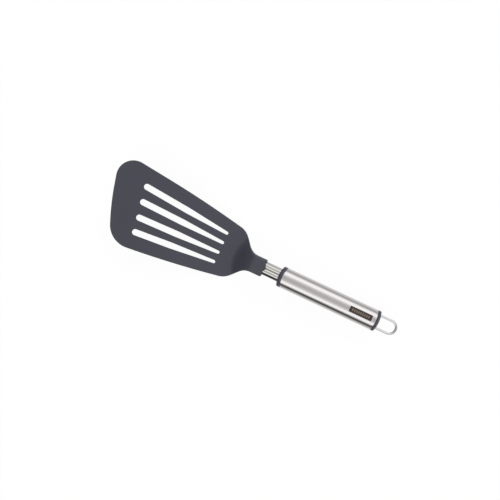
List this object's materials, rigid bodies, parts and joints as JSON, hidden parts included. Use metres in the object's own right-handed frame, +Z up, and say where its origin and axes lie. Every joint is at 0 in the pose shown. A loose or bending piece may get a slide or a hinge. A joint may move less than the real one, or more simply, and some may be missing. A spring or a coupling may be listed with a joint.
{
  "type": "grill spatula",
  "caption": "Slotted nylon turner head with a slanted front edge on a fluted steel shank, with a round steel tube handle, a plug at each end and a wire hanging loop.",
  "frame": {"origin": "middle of the part's footprint, on the surface that it lies on", "axes": "+X runs along the tool from the blade to the hanging loop, +Y runs across the blade towards its longer side, +Z is up"},
  "size_m": [0.353, 0.0938, 0.0371],
  "materials": {
    "nylon": "satin moulded nylon, slate grey",
    "plug_plastic": "satin moulded plastic, slate grey",
    "core_plastic": "natural moulded nylon, off-white",
    "handle_steel": "fine brushed stainless steel",
    "shank_steel": "drawn stainless steel, lengthwise grain",
    "loop_steel": "polished stainless wire",
    "pin_steel": "plain steel",
    "badge_film": "dark printed film, plain"
  },
  "bodies": {
    "root": {"head": "nylon", "shank": "shank_steel", "front_collar": "plug_plastic", "handle_core": "core_plastic", "core_pin": "pin_steel", "handle_tube": "handle_steel", "end_cap": "plug_plastic", "hanging_loop": "loop_steel", "badge": "badge_film"}
  },
  "joints": []
}
